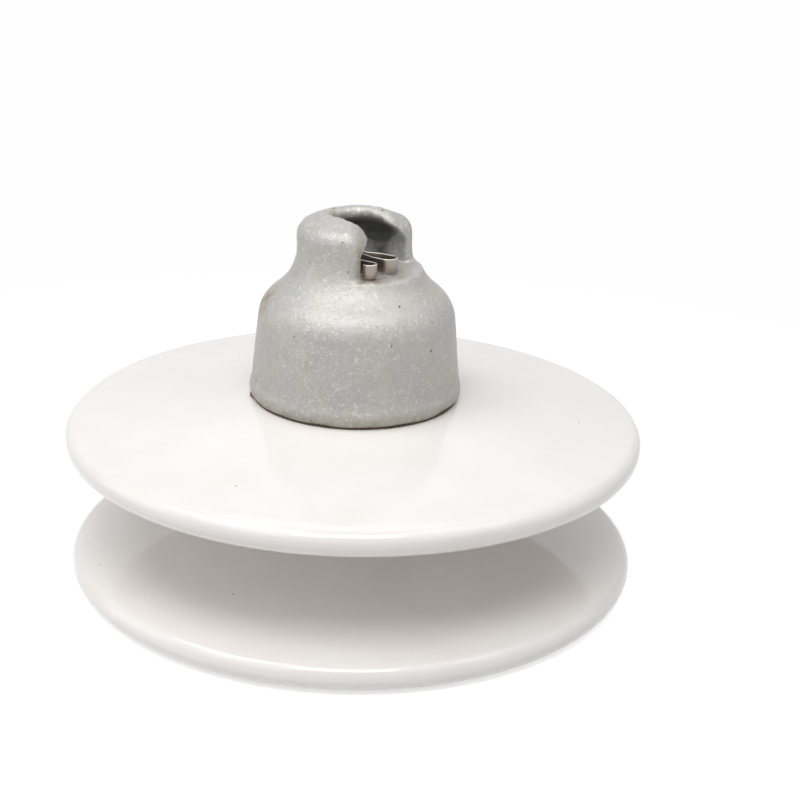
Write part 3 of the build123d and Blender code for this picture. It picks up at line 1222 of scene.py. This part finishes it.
@dataclass
class RimGasket:
    """Felt strip laid round under the cap's rim, with one end standing away."""

    width: float = 2.6
    inner_r: float = 42.6
    seam_deg: float = 132.0
    tail_deg: float = 7.0
    tail_proud: float = 1.5
    gap_deg: float = 2.0
    lift: float = 0.05
    step_deg: float = 1.0
    piece_step: float = 0.55
    fray: float = 0.16
    fray_mm: float = 1.7
    top_level: float = 1.9

    def build(self, porcelain: PorcelainShell) -> bpy.types.Object:
        """Build and dress the gasket.

        Args:
            porcelain: The shed that the gasket lies on.

        Returns:
            The new piece.
        """
        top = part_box("rim_gasket")[1].z / MM
        shed_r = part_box("shell")[1].x / MM
        middle_r = self.inner_r + self.width / 2
        line = [
            (middle_r + self.tail_proud * (1 - t / self.tail_deg), self.seam_deg + t)
            for t in np.arange(0, self.tail_deg, self.step_deg)
        ]
        around = 360 - self.gap_deg - self.tail_deg
        line += [
            (middle_r, self.seam_deg + self.tail_deg + t)
            for t in np.arange(0, around, self.step_deg)
        ]
        bm = bmesh.new()
        rings = []
        half = self.width / 2
        # across in millimetres and up in levels, 0 on the shed and 2 under the cap
        corners = [(-half, 0), (half, 0), (half, 1), (half, 2), (-half, 2), (-half, 0)]
        outline = refined(corners, self.piece_step)
        for radius, angle in line:
            turn = math.radians(angle)
            ring = []
            for u, level in outline[:-1]:
                r = radius + u
                base = porcelain.surface_z(porcelain.upper_rim_z, shed_r, r, 1) + self.lift
                z = base + (top - base) * level / 2
                place = Vector((r * math.cos(turn), r * math.sin(turn), z))
                shake = noise.noise_vector(place / self.fray_mm) * self.fray
                inward = min if level > self.top_level else max
                shake.z = inward(shake.z, 0)
                ring.append(bm.verts.new(place + shake))
            rings.append(ring)
        join_rings(bm, rings)
        piece = mesh_object("felt_gasket", bm, 50.0)
        dress(piece, GASKET_FELT.build(), Body.UNIT, "rim_gasket")
        return piece


# ---- what is cemented in ----------------------------------------------------------------


@dataclass
class CementAndPads:
    """Cement in the cap and in the bore, and the rubber pads at their ends."""

    def build(self) -> None:
        """Dress the cement and the pads, which keep their own solids."""
        cement = NEAT_CEMENT.build()
        rubber = PAD_RUBBER.build()
        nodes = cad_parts
        dress(nodes["cap_cement"], cement, Body.UNIT)
        dress(nodes["pin_cement"], cement, Body.UNIT)
        dress(nodes["head_pad"], rubber, Body.UNIT)
        dress(nodes["pin_pad"], rubber, Body.UNIT)


@dataclass
class ForgedPin:
    """Pin with a collared head in the bore and a ball end below."""

    nose_r: float = 23.0
    ball_r: float = 16.65
    band: float = 1.2
    ball_height: float = 13.4
    shank_r: float = 8.5
    ball_fillet: float = 1.0
    shank_fillet: float = 2.5
    head_r: float = 13.0
    groove_r: float = 9.5
    collar_pitch: float = 13.0
    collar_land: float = 3.0
    segments: int = 192
    nose_pieces: int = 16
    arc_step: float = 0.4
    piece_step: float = 2.0

    def build(self) -> bpy.types.Object:
        """Build and dress the pin.

        Returns:
            The new piece.
        """
        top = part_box("pin")[1].z / MM
        nose_top = self.nose_r - math.sqrt(self.nose_r**2 - self.ball_r**2)
        sweep = math.degrees(math.asin(self.ball_r / self.nose_r))
        nose = arc((0, self.nose_r), self.nose_r, -90, sweep - 90, self.nose_pieces)
        body = rounded(
            [
                nose[-1],
                (self.ball_r, nose_top + self.band),
                (self.shank_r, self.ball_height),
                (self.shank_r, top - 2 * self.collar_pitch),
            ],
            [self.ball_fillet, self.shank_fillet],
            self.arc_step,
        )
        head = [
            (self.head_r, top - self.collar_pitch - self.collar_land),
            (self.head_r, top - self.collar_pitch),
            (self.groove_r, top - self.collar_pitch),
            (self.head_r, top - self.collar_land),
            (self.head_r, top),
            (0.0, top),
        ]
        profile = refined([(0.0, 0.0)] + nose[1:] + body[1:] + head, self.piece_step)
        piece = lathe("forged_pin", profile, self.segments, 35.0)
        finish = HotDipZinc(
            cool="#AEB0B0", warm="#B7B5B0", dull="#A2A3A1", metallic=0.7, roughness=0.38
        )
        dress(piece, finish.build("galvanised_steel", []), Body.UNIT, "pin")
        return piece


# ---- studio -----------------------------------------------------------------------------


@dataclass(frozen=True)
class Softbox:
    """One soft lamp: its place round the object, its size, power and gleam."""

    name: str
    azimuth_deg: float
    elevation_deg: float
    width: float
    height: float
    watts: float
    gleam: float


SOFTBOXES = (
    Softbox("front", -58.0, 59.0, 0.7, 0.55, 6.2, 0.6),
    Softbox("left_top", -136.0, 62.0, 0.7, 0.7, 4.7, 1.0),
    Softbox("right_top", 24.0, 62.0, 0.7, 0.7, 2.6, 0.2),
    Softbox("left_front", -100.0, 45.0, 0.8, 0.8, 3.2, 0.25),
    Softbox("right_front", -10.0, 45.0, 0.8, 0.8, 1.6, 0.15),
    Softbox("left_low", -146.0, 22.0, 0.8, 0.8, 1.9, 0.2),
    Softbox("right_low", 34.0, 22.0, 0.8, 0.8, 1.0, 0.2),
    Softbox("rear", 124.0, 60.0, 0.8, 0.8, 1.2, 0.0),
)


@dataclass
class Studio:
    """White sweep, soft lamps and the camera."""

    azimuth_deg: float = -56.0
    elevation_deg: float = 21.3
    distance: float = 0.718
    roll_deg: float = 1.2
    aim_height: float = 0.0654
    aim_side: float = -0.02844
    aim_up: float = -0.01538
    lens: float = 72.0
    sensor: float = 36.0
    nearest: float = 0.01
    furthest: float = 20.0
    world_strength: float = 0.04
    lamp_distance: float = 1.3
    lamp_aim_height: float = 0.08
    floor_half: float = 6.0
    table_near: float = 0.26
    table_far: float = 0.5
    table_lift: float = 0.62

    def back(self, azimuth_deg: float, elevation_deg: float) -> Vector:
        """Direction from the object towards a place round it.

        Args:
            azimuth_deg: Direction round the axis; 0 looks along +Y.
            elevation_deg: Angle above the horizon.

        Returns:
            Unit vector.
        """
        a, e = math.radians(azimuth_deg), math.radians(elevation_deg)
        return Vector((math.sin(a) * math.cos(e), -math.cos(a) * math.cos(e), math.sin(e)))

    def build_camera(self) -> None:
        """Place the camera and aim it beside the axis."""
        data = bpy.data.cameras.new("camera")
        data.sensor_width = self.sensor
        data.lens = self.lens
        data.clip_start, data.clip_end = self.nearest, self.furthest
        camera = bpy.data.objects.new("camera", data)
        bpy.context.scene.collection.objects.link(camera)
        back = self.back(self.azimuth_deg, self.elevation_deg)
        camera.location = Vector((0, 0, self.aim_height)) + back * self.distance
        level = (-back).to_track_quat("-Z", "Y")
        tilt = Quaternion((0, 0, 1), math.radians(self.roll_deg))
        ahead = Vector((0, 0, -1))
        swing = ahead.rotation_difference(Vector((self.aim_side, self.aim_up, -1)))
        camera.rotation_mode = "QUATERNION"
        camera.rotation_quaternion = level @ tilt @ swing.inverted()
        bpy.context.scene.camera = camera

    def build_lamp(self, lamp: Softbox) -> None:
        """Place one softbox facing the object.

        Args:
            lamp: What it is and where it stands.
        """
        data = bpy.data.lights.new(lamp.name, "AREA")
        data.shape = "RECTANGLE"
        data.size, data.size_y = lamp.width, lamp.height
        data.energy = lamp.watts
        data.specular_factor = lamp.gleam
        made = bpy.data.objects.new(lamp.name, data)
        bpy.context.scene.collection.objects.link(made)
        back = self.back(lamp.azimuth_deg, lamp.elevation_deg)
        made.location = Vector((0, 0, self.lamp_aim_height)) + back * self.lamp_distance
        made.rotation_mode = "QUATERNION"
        made.rotation_quaternion = (-back).to_track_quat("-Z", "Y")

    def seen_white(self, tree: bpy.types.NodeTree) -> bpy.types.NodeSocket:
        """Factor that is 1 for camera, glossy and transmission rays.

        Args:
            tree: Tree that gets the nodes.

        Returns:
            The factor's socket.
        """
        path = add_node(tree, "LightPath")
        rays = ("Is Camera Ray", "Is Glossy Ray", "Is Transmission Ray")
        total = path.outputs[rays[0]]
        for ray in rays[1:]:
            total = add_node(
                tree, "Math", {0: total, 1: path.outputs[ray]}, operation="MAXIMUM"
            ).outputs[0]
        return total

    def build_world(self) -> None:
        """White surroundings, dimmer as a light than as a backdrop."""
        world = bpy.data.worlds.new("studio")
        world.use_nodes = True
        tree = world.node_tree
        tree.nodes.clear()
        seen = self.seen_white(tree)
        light = add_node(
            tree, "Background", {"Color": linear("#FFFFFF"), "Strength": self.world_strength}
        )
        backdrop = add_node(tree, "Background", {"Color": linear("#FEFEFE"), "Strength": 1.0})
        mixed = add_node(
            tree, "MixShader", {0: seen, 1: light.outputs[0], 2: backdrop.outputs[0]}
        )
        add_node(tree, "OutputWorld", {"Surface": mixed.outputs[0]})
        bpy.context.scene.world = world

    def build_floor(self) -> None:
        """Pale table that keeps the object's shadow and fades into the backdrop."""
        bm = bmesh.new()
        bmesh.ops.create_grid(bm, x_segments=8, y_segments=8, size=self.floor_half / MM)
        floor = mesh_object("floor", bm, 30.0)
        material = bpy.data.materials.new("white_table")
        material.use_nodes = True
        tree = material.node_tree
        tree.nodes.clear()
        matt = add_node(tree, "BsdfDiffuse", {"Color": linear("#E6E6E6")})
        seen = self.seen_white(tree)
        lift = add_node(tree, "Math", {0: seen, 1: self.table_lift}, operation="MULTIPLY")
        glow = add_node(
            tree, "Emission", {"Color": linear("#FFFFFF"), "Strength": lift.outputs[0]}
        )
        near = add_node(tree, "AddShader", {0: matt.outputs[0], 1: glow.outputs[0]})
        place = add_node(tree, "TexCoord").outputs["Object"]
        away = add_node(tree, "VectorMath", {0: place}, operation="LENGTH")
        far = add_node(
            tree,
            "MapRange",
            {
                "Value": away.outputs["Value"],
                "From Min": self.table_near,
                "From Max": self.table_far,
                "To Max": 1.0,
            },
            interpolation_type="SMOOTHSTEP",
        )
        blend = add_node(tree, "Math", {0: seen, 1: far.outputs[0]}, operation="MULTIPLY")
        backdrop = add_node(tree, "Emission", {"Color": linear("#FEFEFE")})
        both = add_node(
            tree,
            "MixShader",
            {0: blend.outputs[0], 1: near.outputs[0], 2: backdrop.outputs[0]},
        )
        add_node(tree, "OutputMaterial", {"Surface": both.outputs[0]})
        floor.data.materials.append(material)

    def build(self) -> None:
        """Build the whole studio."""
        self.build_camera()
        self.build_world()
        self.build_floor()
        for lamp in SOFTBOXES:
            self.build_lamp(lamp)
        bpy.context.scene.view_settings.view_transform = "Standard"


def main() -> None:
    """Build the studio and every piece in order."""
    Studio().build()
    porcelain = PorcelainShell()
    porcelain.build()
    CastCap().build()
    RimGasket().build(porcelain)
    LockingClip().build()
    CementAndPads().build()
    ForgedPin().build()


if __name__ == "__main__":
    logging.basicConfig(level=logging.INFO, format="%(name)s %(message)s")
    main()
